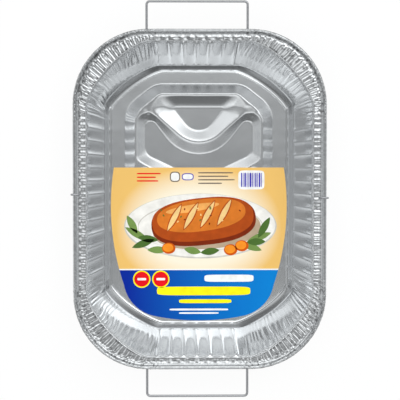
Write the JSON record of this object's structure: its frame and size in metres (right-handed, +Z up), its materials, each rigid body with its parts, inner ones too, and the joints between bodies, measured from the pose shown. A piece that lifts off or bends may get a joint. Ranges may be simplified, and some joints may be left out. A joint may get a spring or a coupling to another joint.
{
  "type": "foil roasting pan",
  "caption": "Deep pressed foil roasting pan with pleated walls, rolled edge and embossed rack, carried by a wire loop with two grips and a hooked side wire; a printed card lies inside.",
  "frame": {"origin": "on the ground under the middle of the pan, where the loop's two rails lie", "axes": "+Z up, +Y along the pan from grip to grip, +X across it from hook to hook"},
  "size_m": [0.3108, 0.479, 0.0947],
  "materials": {
    "foil": "bright pressed foil",
    "wire": "bright drawn wire",
    "card": "printed, satin"
  },
  "bodies": {
    "root": {"pan": "foil", "handle_loop": "wire", "side_wire": "wire", "label_card": "card"}
  },
  "joints": []
}
